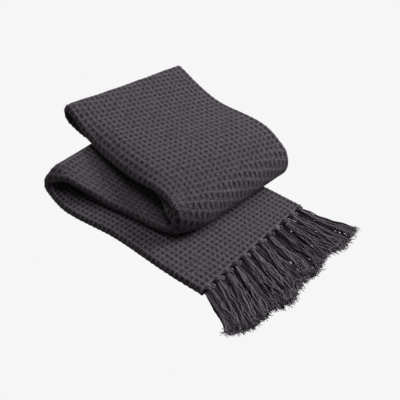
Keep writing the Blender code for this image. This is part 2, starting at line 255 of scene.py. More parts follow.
# What each tassel does by itself: how much its yarns keep together if it is knotted, how it sways, and how
# long it is. Here and below a pair is a range to draw from, and a single value may be a spread about 0.
Tassel = namedtuple("Tassel", "tier middle outer gathered reach swayed")
GATHERING = (0.60, 1.15)
TASSEL_SWAY = 0.0035
TASSEL_WAVE = 0.0030
TASSEL_WAVES = 0.9
TASSEL_REACH = (0.94, 1.03)
# The tassels at the strip's sides fan out less there, and no yarn starts nearer the sides than this
OUTER_FAN = 0.25
ROOT_EDGE = 0.0060
# What each yarn does by itself: how much shorter it is, how it waves and ripples and how many times, over
# what share of its length it comes down, how it lifts, how wide it is, and how it thins to its end
YARN_SHORTENING = 0.05
YARN_WAVE = (0.0010, 0.0056)
OUTER_YARN_WAVE = (0.0010, 0.0028)
YARN_WAVES = (0.8, 2.3)
YARN_WAVE_POWER = 0.8
YARN_RIPPLE = (0.0002, 0.0016)
YARN_RIPPLES = (2.6, 4.2)
RIPPLE_START = 0.25
YARN_FALL = (0.32, 0.5)
YARN_LIFT = (0.0, 0.0012)
YARN_LIFTS = 1.7
YARN_FLOOR = 0.0013
YARN_WIDTHS = (0.85, 1.1)
YARN_THINNING = 0.45
THINNING_START = 0.82
TWIST_LENGTH = 0.009
# Steps along a yarn and sides round it, in the two lower and the two upper tiers
LOWER_STEPS_AND_SIDES = (14, 5)
UPPER_STEPS_AND_SIDES = (18, 6)
# The yarns' look: their darkest and lightest shades as shares of their colour, their plies, how often these
# turn in TWIST_LENGTH, how dark the painted shade in the grooves between them is, and how furry the yarns
# are
YARN_SHADES = (0.35, 1.6)
YARN_PLIES = 2.0
YARN_TWISTS = 2.0
GROOVE_SHADE = 0.55
FUR_GRAIN = 500.0
FUR_HEIGHT = 0.6
FRINGE_SEED = 11
# The frayed fibres at a yarn's end
FIBRES = 3
FIBRE_TURN = 0.40
FIBRE_BEND = 1.3
FIBRE_LENGTH = (0.005, 0.016)
FIBRE_RISE = (-0.15, 0.12)
FIBRE_FLOOR = 0.0005
FIBRE_RADII = (0.0007, 0.0004)
FIBRE_STEPS = 4
FIBRE_SIDES = 3
# The knots, wound of yarn, and the short ends that lead into them from the header
KNOT_FORWARD = -0.0068
KNOT_WIDTH = 0.0136
KNOT_WIDTHS = (0.95, 1.04)
KNOT_DEPTH = 0.92
KNOT_GROOVE = 0.07
KNOT_WINDINGS = 3
KNOT_SLANT = (2.5, 5.5)
KNOT_SEGMENTS = 22
KNOT_RINGS = 12
KNOT_POLE = 0.1
LEADS = 7
LEAD_START = -0.0015
LEAD_SPREAD = (0.020, 0.006)
LEAD_DROP = 0.001
LEAD_UNEVENNESS = 0.0012
LEAD_FLOOR = 0.0016
LEAD_RADIUS = 0.0012
LEAD_STEPS = 5
LEAD_SIDES = 6
KNOT_SEED = 5

# The camera: turned this many degrees from +Y to +X, looking down, at this distance from a spot on the floor
CAMERA_TURN = 50.3131
CAMERA_DOWN = 38.4927
CAMERA_DISTANCE = 1.62147
CAMERA_SPOT = (-0.0077, -0.0218)
CAMERA_LENS = 69.90
CAMERA_NEAR = 0.01
SENSOR = 36.0

# The floor, the light of the room and the lamps, which point at the middle of the floor
FLOOR_SIZE = 14.0
ROOM_LIGHT = 0.06
Lamp = namedtuple("Lamp", "name spot size watts")
LAMPS = (
    Lamp("large soft light overhead", (0.3, 0.0, 2.2), 1.6, 12.0),
    Lamp("soft light at the right", (1.6, -1.0, 1.35), 0.9, 27.0),
)


def smooth(share):
    share = np.clip(share, 0.0, 1.0)
    return share * share * (3 - 2 * share)


def unit(vectors):
    return vectors / np.linalg.norm(vectors, axis=-1, keepdims=True)


# ---- The folded strip ----


def curve_across(left, middle, right, across):
    """A value on the smooth curve through its values at the strip's left side, middle and right side."""
    slope = 4 * middle - 3 * left - right
    curve = 2 * left + 2 * right - 4 * middle
    return left + slope * across + curve * across ** 2


def net_rise(fold, bend, angle):
    """Height between the two runs of a fold whose bend goes this angle past its half turn."""
    total = 0.0
    for ease in (fold.ease_in, fold.ease_out):
        if ease:
            eased = ease * math.sin(angle) + EASE_RADIUS * (1 - math.cos(angle))
            total += bend * math.cos(angle) - eased
        else:
            total += bend
    return total


def easing_angle(fold, bend, rise):
    """How far past the half turn the bend goes on each eased side, so that the runs end up rise apart."""
    low, high = 0.0, MOST_EASING_ANGLE
    for _ in range(SOLVE_STEPS):
        middle = (low + high) / 2
        if net_rise(fold, bend, middle) > rise:
            low = middle
        else:
            high = middle
    return low


def fold_pieces(fold, across):
    """The fold as arcs and straights, each a (length, angle turned), and where its middle is along them."""
    bend = curve_across(fold.bend_left, fold.bend_middle, fold.bend_right, across)
    rise = fold.rise_left + (fold.rise_right - fold.rise_left) * across
    angle = easing_angle(fold, bend, rise)
    before = angle if fold.ease_in else 0.0
    after = angle if fold.ease_out else 0.0
    turned = math.pi + before + after
    pieces = (
        (EASE_RADIUS * before, -before),
        (fold.ease_in, 0.0),
        (bend * turned, turned),
        (fold.ease_out, 0.0),
        (EASE_RADIUS * after, -after),
    )
    middle = EASE_RADIUS * before + fold.ease_in + bend * (math.pi / 2 + before)
    return pieces, middle


def along_pieces(pieces, distances):
    """How far forward and up the strip is, and its slope, at these distances along a fold's pieces."""
    forward = np.minimum(distances, 0.0)
    height = np.zeros_like(distances)
    slope = np.zeros_like(distances)
    left_over = distances.copy()
    for length, turned in pieces:
        step = np.clip(left_over, 0.0, length)
        if turned:
            radius = length / turned
            after = slope + step / radius
            forward += radius * (np.sin(after) - np.sin(slope))
            height += radius * (np.cos(slope) - np.cos(after))
            slope = after
        else:
            forward += step * np.cos(slope)
            height += step * np.sin(slope)
        left_over -= length
    beyond = np.maximum(left_over, 0.0)
    return forward + beyond * np.cos(slope), height + beyond * np.sin(slope), slope


def fold_directions():
    """For each fold: the plan directions of travel before it, out of it and along its line."""
    found = []
    ends = np.array([[0.0, 0.0], [STRIP_WIDTH, 0.0]])
    travel = np.array([0.0, 1.0])
    walked = np.zeros(2)
    for fold in FOLDS:
        creases = ends + travel * (np.array([fold.left, fold.right]) - walked)[:, None]
        line = unit(creases[1] - creases[0])
        outward = np.array([-line[1], line[0]])
        outward *= np.sign(outward @ travel)
        found.append((travel, outward, line))
        cosine, sine = travel @ outward, travel @ line
        for side in (0, 1):
            pieces, middle = fold_pieces(fold, side)
            length = sum(piece[0] for piece in pieces)
            forward, _, _ = along_pieces(pieces, np.array([length]))
            walked[side] = (length - middle) / cosine
            ends[side] = creases[side] + outward * (forward[0] - middle) + line * sine * walked[side]
        travel = sine * line - cosine * outward
    return found


def between_rows(column, folds_passed):
    """A value on the smooth curve through one column of SIDES."""
    row = np.interp(folds_passed, [side.place for side in SIDES], range(len(SIDES)))
    values = [getattr(side, column) for side in SIDES]
    values = np.array(values[:1] + values + values[-1:])
    first = np.clip(np.floor(row).astype(int), 0, len(SIDES) - 2)
    t = row - first
    before, start, end, after = (values[first + step] for step in range(4))
    curved = 2 * before - 5 * start + 4 * end - after
    return start + 0.5 * t * (end - before + t * (curved + t * (3 * (start - end) + after - before)))


def side_shift(across, turn):
    """How far inwards, up and forward the strip's points lie, at these places along it."""
    last_fold = len(FOLDS)
    folded_back = np.where(turn > last_fold, 2 * last_fold - turn, turn)
    left_in, right_in, left_up, right_up = (
        between_rows(column, folded_back) for column in ("left_in", "right_in", "left_up", "right_up")
    )
    inwards = left_in * (1 - across) - right_in * across
    upwards = np.maximum(left_up, 0.0) * (1 - across) + np.maximum(right_up, 0.0) * across
    forwards = np.zeros_like(turn)
    for shaping in SHAPINGS:
        away = SHAPING_SPREAD * np.where(turn < shaping.place, shaping.before, shaping.after)
        amount = smooth(SHAPING_FULLNESS * (1 - np.abs(turn - shaping.place) / away))
        amount = amount * max(0.0, 1 - across / shaping.share) ** 2
        inwards = inwards + shaping.inwards * amount
        upwards = upwards + shaping.upwards * amount
        forwards = forwards + shaping.forwards * amount
    return inwards, upwards, forwards


def strip_line(across, along, directions):
    """The strip along one line of its length, at this share of its width and these distances along it.

    Returns points and normals of the middle of its thickness, the side of it that lies inside the bend
    (1 along the normal, -1 against it) and how much thicker it is there.
    """
    fold_spots = []
    reached = 0.0
    for fold, (travel, outward, _) in zip(FOLDS, directions):
        reached += fold.left + (fold.right - fold.left) * across
        pieces, middle = fold_pieces(fold, across)
        fold_spots.append((reached, pieces, middle, travel @ outward))
    points = np.zeros((len(along), 3))
    normals = np.zeros((len(along), 3))
    inside = np.zeros(len(along))
    swollen = np.zeros(len(along))
    base = np.array([(across - 0.5) * STRIP_WIDTH, 0.0])
    base_along, base_height, facing = 0.0, STRIP_THICKNESS / 2, 1.0
    for fold, (travel, outward, line), (spot, pieces, middle, cosine) in zip(FOLDS, directions, fold_spots):
        crease = base + travel * (spot - base_along)
        sine = travel @ line
        here = along >= base_along
        past = along[here] - spot
        forward, height, slope = along_pieces(pieces, middle + cosine * past)
        forward -= middle
        points[here, :2] = crease + forward[:, None] * outward + (sine * past)[:, None] * line
        points[here, 2] = base_height + fold.up * height
        normals[here, :2] = -(facing * fold.up * np.sin(slope))[:, None] * outward
        normals[here, 2] = facing * np.cos(slope)
        inside[here] = facing * fold.up
        swollen[here] = fold.swell * np.sin(np.clip(slope, 0.0, math.pi))
        last = sum(length for length, _ in pieces)
        forward, height, _ = along_pieces(pieces, np.array([last]))
        base_along = spot + (last - middle) / cosine
        base = crease + (forward[0] - middle) * outward + sine * (base_along - spot) * line
        base_height += fold.up * height[0]
        facing = -facing
    spots = [0.0] + [fold_spot[0] for fold_spot in fold_spots]
    back_again = 2 * spots[-1] - spots[-2]
    turn = np.interp(along, spots + [back_again], range(len(FOLDS) + 2))
    inwards, upwards, forwards = side_shift(across, turn)
    lines = np.array([directions[0][2]] + [direction[2] for direction in directions])
    for axis in (0, 1):
        points[:, axis] += inwards * np.interp(turn, range(len(lines)), lines[:, axis])
    points[:, 1] += forwards
    points[:, 2] += upwards
    travel, _, line = directions[-1]
    drawn_under = 2 * (travel @ line) * np.maximum(along - spots[-1], 0.0)
    points[:, :2] -= drawn_under[:, None] * line
    return points, normals, inside, swollen


def in_strip(strip_points, offset):
    """Points of the strip's line at this offset from the middle of its thickness."""
    points, normals, inside, swollen = strip_points
    depth = (offset * inside + STRIP_THICKNESS / 2) * (1 + swollen) - STRIP_THICKNESS / 2
    return points + (inside * depth)[:, None] * normals


# ---- The cloth's own surface ----


def step_places(cells):
    """Where the steps of this many cells lie, counted in cells."""
    return np.append(np.add.outer(np.arange(cells), CELL_PLACES).ravel(), cells)


def cloth_path():
    """The folded cloth seen from its end: (across, offset) of its lines from one selvedge to the other.

    Also returns, for every cell of the weave between the lines, whether it lies in a turn of the cloth.
    """
    outer, inner = 1.5 * LAYER_PITCH, 0.5 * LAYER_PITCH
    left = outer + CLOTH_THICKNESS / 2
    right = STRIP_WIDTH - inner - CLOTH_THICKNESS / 2
    path = [(STRIP_WIDTH, -outer)]
    in_turn = []

    def layer(start, end, offset):
        places = step_places(LAYER_CELLS)[1:] / LAYER_CELLS
        path.extend((start + (end - start) * place, offset) for place in places)
        in_turn.extend([False] * LAYER_CELLS)

    def turn(middle, offset, radius, start, turned, cells):
        angles = start + turned * step_places(cells)[1:] / cells
        path.extend((middle + radius * math.cos(a), offset + radius * math.sin(a)) for a in angles)
        in_turn.extend([True] * cells)

    layer(STRIP_WIDTH, left, -outer)
    turn(left, 0.0, outer, -math.pi / 2, -math.pi, OUTER_TURN_CELLS)
    layer(left, right, outer)
    turn(right, LAYER_PITCH, inner, math.pi / 2, -math.pi, INNER_TURN_CELLS)
    layer(right, left, inner)
    turn(left, 0.0, inner, math.pi / 2, math.pi, INNER_TURN_CELLS)
    layer(left, STRIP_WIDTH, -inner)
    return path, np.array(in_turn)


def row_places():
    """Distances along the throw of the steps of its rows of cells."""
    places, pitches = [row.place for row in ROWS], [row.pitch for row in ROWS]
    edges = [0.0]
    while edges[-1] < FLAT_LENGTH:
        edges.append(edges[-1] + np.interp(edges[-1], places, pitches))
    edges = np.array(edges) * (FLAT_LENGTH / edges[-1])
    count = len(edges) - 1
    return np.interp(step_places(count), range(count + 1), edges)


def waver(across, rows):
    """How far the rows of the weave stray along the throw."""
    strayed = 0.0
    for wave in WAVER_WAVES:
        turns = rows / wave.length + wave.slant * across + wave.start
        strayed = strayed + wave.share * np.sin(2 * math.pi * turns)
    return WAVER * strayed * smooth(rows / WAVER_FADE) * smooth((FLAT_LENGTH - rows) / WAVER_FADE)


def cloth_points():
    """The middle surface of the cloth and its normals, by line across and by row along, and its turns."""
    directions = fold_directions()
    rows = row_places()
    leans = np.interp(rows, [row.place for row in ROWS], [row.lean for row in ROWS])
    path, in_turn = cloth_path()
    lines = []
    for across, offset in path:
        share = across / STRIP_WIDTH
        along = rows + leans * (across - STRIP_WIDTH / 2) + waver(share, rows)
        lines.append(in_strip(strip_line(share, along, directions), offset))
    points = np.array(lines) + np.array([*PLACE, 0.0])
    normals = unit(np.cross(np.gradient(points, axis=0), np.gradient(points, axis=1)))
    return points, normals, in_turn


def view_directions():
    """Directions to look along from the cloth: rings of them round it, and straight up."""
    views = []
    for rise, count in VIEW_RINGS:
        for step in range(count):
            turn = 2 * math.pi * (step + rise) / count
            flat = math.cos(rise)
            views.append(Vector((flat * math.cos(turn), flat * math.sin(turn), math.sin(rise))))
    return views + [Vector((0.0, 0.0, 1.0))]


def cells_in_view(points, normals, half):
    """For the outer and the inner side of the cloth: which cells of the weave can be seen from outside."""
    lines = points[::CELL_STEPS]
    across, along = lines.shape[:2]
    numbers = np.arange(across * along).reshape(across, along)
    corners = (numbers[:-1, :-1], numbers[1:, :-1], numbers[1:, 1:], numbers[:-1, 1:])
    quads = np.stack(corners, axis=-1).reshape(-1, 4)
    tree = BVHTree.FromPolygons(lines.reshape(-1, 3).tolist(), quads.tolist())
    views = view_directions()
    middle = CELL_STEPS // 2
    seen = []
    for side in (1, -1):
        shape = (points.shape[0] // CELL_STEPS, points.shape[1] // CELL_STEPS)
        open_cells = np.zeros(shape, bool)
        for i in range(shape[0]):
            for j in range(shape[1]):
                spot = (i * CELL_STEPS + middle, j * CELL_STEPS + middle)
                normal = Vector(normals[spot]) * side
                start = Vector(points[spot]) + normal * (half + VIEW_GAP)
                outwards = (view for view in views if normal.dot(view) > LEAST_FACING)
                open_cells[i, j] = any(tree.ray_cast(start, view)[0] is None for view in outwards)
        seen.append(open_cells)
    return seen


def with_neighbours(cells):
    """The cells and those next to them."""
    wider = cells.copy()
    wider[1:] |= cells[:-1]
    wider[:-1] |= cells[1:]
    wider[:, 1:] |= cells[:, :-1]
    wider[:, :-1] |= cells[:, 1:]
    return wider


def steps_of(first, cells, divided):
    """The steps from this one over this many cells: one by one in a divided cell, or else all in one."""
    if divided:
        return [(first + step, first + step + 1) for step in range(CELL_STEPS)]
    return [(first, first + cells * CELL_STEPS)]


def blocks(fine, in_turn, tight):
    """Rectangles of steps (first and last line, first and last row) that make up one side of the cloth."""
    found = []
    for j in range(fine.shape[1]):
        i = 0
        while i < fine.shape[0]:
            width = 1
            if not fine[i, j] and not in_turn[i]:
                while (
                    width < COARSE_CELLS
                    and i + width < fine.shape[0]
                    and not fine[i + width, j]
                    and not in_turn[i + width]
                    and tight[i + width, j] == tight[i, j]
                ):
                    width += 1
            lines = steps_of(i * CELL_STEPS, width, fine[i, j] or in_turn[i])
            rows = steps_of(j * CELL_STEPS, 1, fine[i, j] or tight[i, j])
            found += [(*line, *row) for line in lines for row in rows]
            i += width
    return found


def outline_of(block, used):
    """The corners of a block in order, with the points that a finer neighbour has on its sides."""
    i0, i1, j0, j1 = block
    walk = [(i, j0) for i in range(i0, i1)]
    walk += [(i1, j) for j in range(j0, j1)]
    walk += [(i, j1) for i in range(i1, i0, -1)]
    walk += [(i0, j) for j in range(j1, j0, -1)]
    return [spot for spot in walk if used[spot]]


def hollows(shape, random):
    """How deep each point of the weave lies below its ridges: 0 on a ridge, about 1 in a hollow's middle."""
    across, along = (
        np.sin(math.pi * np.array(CELL_PLACES)[np.arange(count) % CELL_STEPS]) ** steepness
        for count, steepness in zip(shape, HOLLOW_STEEPNESS)
    )
    depths = random.uniform(*HOLLOW_SHARES, (shape[0] // CELL_STEPS + 1, shape[1] // CELL_STEPS + 1))
    depths = depths.repeat(CELL_STEPS, axis=0).repeat(CELL_STEPS, axis=1)[: shape[0], : shape[1]]
    rows = np.arange(shape[1]) / CELL_STEPS
    slack = np.clip((rows - SLACK_ROWS[0]) * SLACK_GROWTH, 0.0, 1.0)
    slack *= np.clip((SLACK_ROWS[1] - rows) * SLACK_GROWTH, 0.0, 1.0)
    return across[:, None] * (along * (1 - SLACK_SHARE * slack))[None, :] * depths


def rim(numbers):
    """The faces that close the cloth's four edges between its two sides, and the steps at their corners."""
    outer, inner = numbers
    lines, rows = outer.shape
    polygons, corners = [], []
    for walk, forwards in (
        ([(0, j) for j in range(rows)], False),
        ([(lines - 1, j) for j in range(rows)], True),
        ([(i, 0) for i in range(lines)], True),
        ([(i, rows - 1) for i in range(lines)], False),
    ):
        shared = [n for n, spot in enumerate(walk) if outer[spot] >= 0 and inner[spot] >= 0]
        for start, end in zip(shared, shared[1:]):
            part = walk[start : end + 1] if forwards else walk[start : end + 1][::-1]
            there = [spot for spot in part if inner[spot] >= 0]
            back = [spot for spot in reversed(part) if outer[spot] >= 0]
            polygons.append([inner[spot] for spot in there] + [outer[spot] for spot in back])
            corners += there + back
    return polygons, corners


def tight_cells(normals):
    """Whether the cloth turns sharply along the throw, cell by cell."""
    first = normals[:, :-CELL_STEPS:CELL_STEPS][::CELL_STEPS][:-1]
    second = normals[:, CELL_STEPS::CELL_STEPS][::CELL_STEPS][:-1]
    return (first * second).sum(axis=2) < math.cos(COARSE_TURN_ANGLE)


def cloth_mesh(name, thickness, hollow_depth):
    """The throw's cloth as one closed mesh: its weave in relief where it shows, plain between the layers."""
    points, normals, in_turn = cloth_points()
    half = thickness / 2
    seen = [with_neighbours(cells) for cells in cells_in_view(points, normals, half)]
    tight = tight_cells(normals)
    random = np.random.default_rng(CLOTH_SEED)
    shape = points.shape[:2]
    places, numbers, polygons, corners = [], [], [], []
    total = 0
    for side, fine in zip((1, -1), seen):
        side_blocks = blocks(fine, in_turn, tight)
        used = np.zeros(shape, bool)
        for i0, i1, j0, j1 in side_blocks:
            used[[i0, i0, i1, i1], [j0, j1, j0, j1]] = True
        raised = half - hollow_depth * hollows(shape, random) - RIDGE_UNEVENNESS * random.random(shape)
        number = np.full(shape, -1)
        number[used] = total + np.arange(used.sum())
        total += int(used.sum())
        places.append(points[used] + side * raised[used][:, None] * normals[used])
        numbers.append(number)
        for block in side_blocks:
            walk = outline_of(block, used)[::side]
            polygons.append([number[spot] for spot in walk])
            corners += walk
    rim_polygons, rim_corners = rim(numbers)
    polygons = [[int(point) for point in polygon] for polygon in polygons + rim_polygons]
    corners = np.array(corners + rim_corners)
    mesh = bpy.data.meshes.new(name)
    mesh.from_pydata(np.concatenate(places).tolist(), [], polygons)
    counted = [step_places(count // CELL_STEPS) for count in shape]
    weave = np.stack([counted[0][corners[:, 0]], counted[1][corners[:, 1]]], axis=1)
    mesh.uv_layers.new(name="weave").data.foreach_set("uv", weave.ravel())
    return mesh


# ---- Yarns ----


def skin(shapes, rings, number, heights, turned_over=False):
    """Adds a closed skin through rings of points to shapes: points, faces and places round and along it.

    The places round it start at number, and those along it are these heights. The rings run the other way
    round if it is turned over.
    """
    points, faces, places = shapes
    count = len(rings[0])
    first = len(points)
    for ring in rings:
        points.extend(ring)
    order = (0, 3, 2, 1) if turned_over else (0, 1, 2, 3)
    for ring in range(len(rings) - 1):
        low, high = heights[ring], heights[ring + 1]
        start, end = first + ring * count, first + (ring + 1) * count
        for side in range(count):
            after = (side + 1) % count
            u0, u1 = number + side / count, number + (side + 1) / count
            corners = (start + side, end + side, end + after, start + after)
            spots = ((u0, low), (u0, high), (u1, high), (u1, low))
            faces.append([corners[n] for n in order])
            places += [spots[n] for n in order]
    for ring, backwards in ((0, turned_over), (len(rings) - 1, not turned_over)):
        sides = range(count)[::-1] if backwards else range(count)
        faces.append([first + ring * count + side for side in sides])
        places += [(number + side / count, heights[ring]) for side in sides]


def tube(shapes, path, radii, sides, number):
    """Adds a closed round yarn along a path to shapes."""
    path = np.asarray(path)
    ahead = unit(np.gradient(path, axis=0))
    aside = unit(np.cross(ahead, (0.0, 0.0, 1.0)))
    over = np.cross(aside, ahead)
    lengths = np.concatenate([[0.0], np.cumsum(np.linalg.norm(np.diff(path, axis=0), axis=1))])
    angles = [2 * math.pi * side / sides for side in range(sides)]
    rings = [
        [(spot + radius * (math.cos(a) * to_side + math.sin(a) * up)).tolist() for a in angles]
        for spot, radius, to_side, up in zip(path, radii, aside, over)
    ]
    skin(shapes, rings, number, lengths / TWIST_LENGTH)


def mesh_of(name, shapes):
    points, faces, places = shapes
    mesh = bpy.data.meshes.new(name)
    mesh.from_pydata(points, [], faces)
    mesh.uv_layers.new(name="weave").data.foreach_set("uv", np.array(places, float).ravel())
    return mesh


def leaning(root, fan, start, shares):
    """Where a yarn is in plan at these shares of its length, as it leans and fans out from its root."""
    tip = root + curve_across(*TIP_ASIDE, root / STRIP_WIDTH + 0.5) + fan
    forward = np.interp(tip, [spot.across for spot in TIP_LINE], [spot.forward for spot in TIP_LINE])
    x = root + (tip - root) * shares ** LEAN_POWER
    y = start + (forward - start) * shares
    return x, y


def tassels(tiers):
    """Every tassel's tier, number and place across the throw."""
    for tier in tiers:
        for tassel in range(tier.tassels):
            yield tier, tassel, tier.first + tassel * TASSEL_SPACING - STRIP_WIDTH / 2


def yarn_path(tassel, place, shares, random):
    """The path of one yarn of a tassel, which starts at this place across it, from -0.5 to 0.5."""
    tier = tassel.tier
    fan = place * 2 * tier.spread * tassel.gathered
    if fan * tassel.outer > 0:
        fan *= OUTER_FAN
    edge = STRIP_WIDTH / 2 - ROOT_EDGE
    root = min(max(tassel.middle + place * tier.root_spread, -edge), edge)
    x, y = leaning(root, fan, tier.start, shares)
    x = x + tassel.swayed
    stretch = tassel.reach - abs(random.normal(0.0, YARN_SHORTENING))
    phase, waves = random.uniform(0, 2 * math.pi), random.uniform(*YARN_WAVES)
    wave = random.uniform(*(OUTER_YARN_WAVE if tassel.outer else YARN_WAVE))
    x = x + wave * shares ** YARN_WAVE_POWER * np.sin(phase + 2 * math.pi * waves * shares)
    ripple, ripples = random.uniform(*YARN_RIPPLE), random.uniform(*YARN_RIPPLES)
    x = x + ripple * smooth(shares / RIPPLE_START) * np.sin(phase * 3 + 2 * math.pi * ripples * shares)
    y = tier.start + (y - tier.start) * stretch
    level = random.random()
    rooted = tier.root_low + (tier.root_high - tier.root_low) * level
    rested = tier.rest_low + (tier.rest_high - tier.rest_low) * level
    fallen = smooth(shares / random.uniform(*YARN_FALL))
    lift = random.uniform(*YARN_LIFT) * np.sin(phase * 2 + 2 * math.pi * YARN_LIFTS * shares) * shares
    z = np.maximum(rooted + (rested - rooted) * fallen + lift, YARN_FLOOR)
    return np.stack([x + PLACE[0], y + PLACE[1], z], axis=1)


def frayed_end(shapes, path, number, random):
    """Adds the thin bent fibres at a yarn's end to shapes."""
    tip, ahead = path[-2], unit(path[-1] - path[-3])
    for _ in range(FIBRES):
        heading = math.atan2(ahead[1], ahead[0]) + random.normal(0.0, FIBRE_TURN)
        length = random.uniform(*FIBRE_LENGTH)
        bend = random.normal(0.0, FIBRE_BEND)
        fibre = [tip]
        for _ in range(FIBRE_STEPS):
            heading += bend / FIBRE_STEPS
            along = np.array([math.cos(heading), math.sin(heading), random.uniform(*FIBRE_RISE)])
            fibre.append(fibre[-1] + along * length / FIBRE_STEPS)
        fibre = np.array(fibre)
        fibre[:, 2] = np.maximum(fibre[:, 2], FIBRE_FLOOR)
        tube(shapes, fibre, np.linspace(*FIBRE_RADII, len(fibre)), FIBRE_SIDES, number)


def fringe_yarns(tiers, yarn_width, random, steps, sides):
    """The yarns of the tassels of these tiers, and the thin frayed fibres at their ends."""
    yarns, fibres = ([], [], []), ([], [], [])
    number = 0
    shares = np.linspace(0.0, 1.0, steps + 1)
    thinning = 1 - YARN_THINNING * smooth((shares - THINNING_START) / (1 - THINNING_START))
    for tier, tassel, middle in tassels(tiers):
        gathered = random.uniform(*GATHERING) if tier.knot_height else 1.0
        outer = -1 if tassel == 0 else 1 if tassel == tier.tassels - 1 else 0
        sway, swing = random.normal(0.0, TASSEL_SWAY), random.uniform(0, 2 * math.pi)
        sway = -abs(sway) * outer if outer else sway
        reach = random.uniform(*TASSEL_REACH)
        swayed = TASSEL_WAVE * shares * np.sin(swing + 2 * math.pi * TASSEL_WAVES * shares)
        own = Tassel(tier, middle, outer, gathered, reach, sway * shares + swayed)
        for yarn in range(tier.yarns):
            place = (yarn + random.random()) / tier.yarns - 0.5
            path = yarn_path(own, place, shares, random)
            radius = yarn_width / 2 * random.uniform(*YARN_WIDTHS)
            tube(yarns, path, radius * thinning, sides, number)
            frayed_end(fibres, path, number, random)
            number += 1
    return yarns, fibres


def knot(shapes, middle, number, random):
    """Adds a knot to shapes: a lump with slanting grooves round it and its poles to the left and right."""
    points, faces, places = shapes
    slant, phase = random.uniform(*KNOT_SLANT), random.uniform(0, 2 * math.pi)
    size = KNOT_WIDTH / 2 * random.uniform(*KNOT_WIDTHS)
    start = len(points)
    for ring in range(1, KNOT_RINGS):
        up = math.pi * ring / KNOT_RINGS
        for segment in range(KNOT_SEGMENTS):
            turn = 2 * math.pi * segment / KNOT_SEGMENTS
            wound = math.cos(KNOT_WINDINGS * turn + slant * up + phase)
            radius = size * (1 - KNOT_GROOVE + KNOT_GROOVE * wound)
            forward, over = KNOT_DEPTH * math.sin(up) * math.cos(turn), math.sin(up) * math.sin(turn)
            points.append((middle + radius * np.array([math.cos(up), forward, over])).tolist())
    poles = (len(points), len(points) + 1)
    for sign in (1, -1):
        points.append((middle + np.array([sign * size * (1 - KNOT_GROOVE), 0.0, 0.0])).tolist())
    for segment in range(KNOT_SEGMENTS):
        after = (segment + 1) % KNOT_SEGMENTS
        u0, u1 = number + segment / KNOT_SEGMENTS, number + (segment + 1) / KNOT_SEGMENTS
        rows = [start + row * KNOT_SEGMENTS for row in range(KNOT_RINGS - 1)]
        pairs = [(row + segment, row + after) for row in rows]
        faces.append((poles[0], *pairs[0]))
        places += [(u0, 0.0), (u0, KNOT_POLE), (u1, KNOT_POLE)]
        for row, (pair, next_pair) in enumerate(zip(pairs, pairs[1:])):
            faces.append((pair[0], *next_pair, pair[1]))
            low, high = (row + 1) / KNOT_RINGS, (row + 2) / KNOT_RINGS
            places += [(u0, low), (u0, high), (u1, high), (u1, low)]
        faces.append((pairs[-1][0], poles[1], pairs[-1][1]))
        places += [(u0, 1 - KNOT_POLE), (u0, 1.0), (u1, 1 - KNOT_POLE)]


def knot_mesh(name, random):
    """All knots, and the short ends of yarn that lead into them from the header."""
    shapes = ([], [], [])
    number = 0
    for tier, _, x in tassels([tier for tier in TIERS if tier.knot_height]):
        middle = np.array([x + PLACE[0], KNOT_FORWARD + PLACE[1], tier.knot_height])
        knot(shapes, middle, number, random)
        for lead in range(LEADS):
            from_x, to_x = (x + (lead / (LEADS - 1) - 0.5) * spread for spread in LEAD_SPREAD)
            from_z = tier.knot_height - LEAD_DROP + random.uniform(-LEAD_UNEVENNESS, LEAD_UNEVENNESS)
            path = []
            for step in range(LEAD_STEPS + 1):
                share = step / LEAD_STEPS
                lead_x = from_x + (to_x - from_x) * smooth(share) + PLACE[0]
                lead_y = LEAD_START + (KNOT_FORWARD - LEAD_START) * share + PLACE[1]
                lead_z = max(from_z + (tier.knot_height - from_z) * share, LEAD_FLOOR)
                path.append((lead_x, lead_y, lead_z))
            tube(shapes, path, [LEAD_RADIUS] * len(path), LEAD_SIDES, number + 1 + lead)
        number += 1 + LEADS
    return mesh_of(name, shapes)


def header_mesh(name):
    """The fringe's header: a narrow band that follows the folded cloth's end."""
    path = np.array(cloth_path()[0])
    rings = []
    for spot, ahead in zip(path, unit(np.gradient(path, axis=0))):
        sideways = CLOTH_THICKNESS / 2 * np.array([-ahead[1], ahead[0]])
        ring = []
        for out, share in HEADER_SECTION:
            across, offset = spot + out * sideways
            inwards = float(side_shift(across / STRIP_WIDTH, np.zeros(1))[0][0])
            x = across + inwards - STRIP_WIDTH / 2 + PLACE[0]
            y = -HEADER_GAP - HEADER_LENGTH * share + PLACE[1]
            ring.append((x, y, max(STRIP_THICKNESS / 2 + offset, 0.0)))
        rings.append(ring)
    shapes = ([], [], [])
    skin(shapes, rings, 0, range(len(rings)), turned_over=True)
    return mesh_of(name, shapes)


# ---- Materials ----


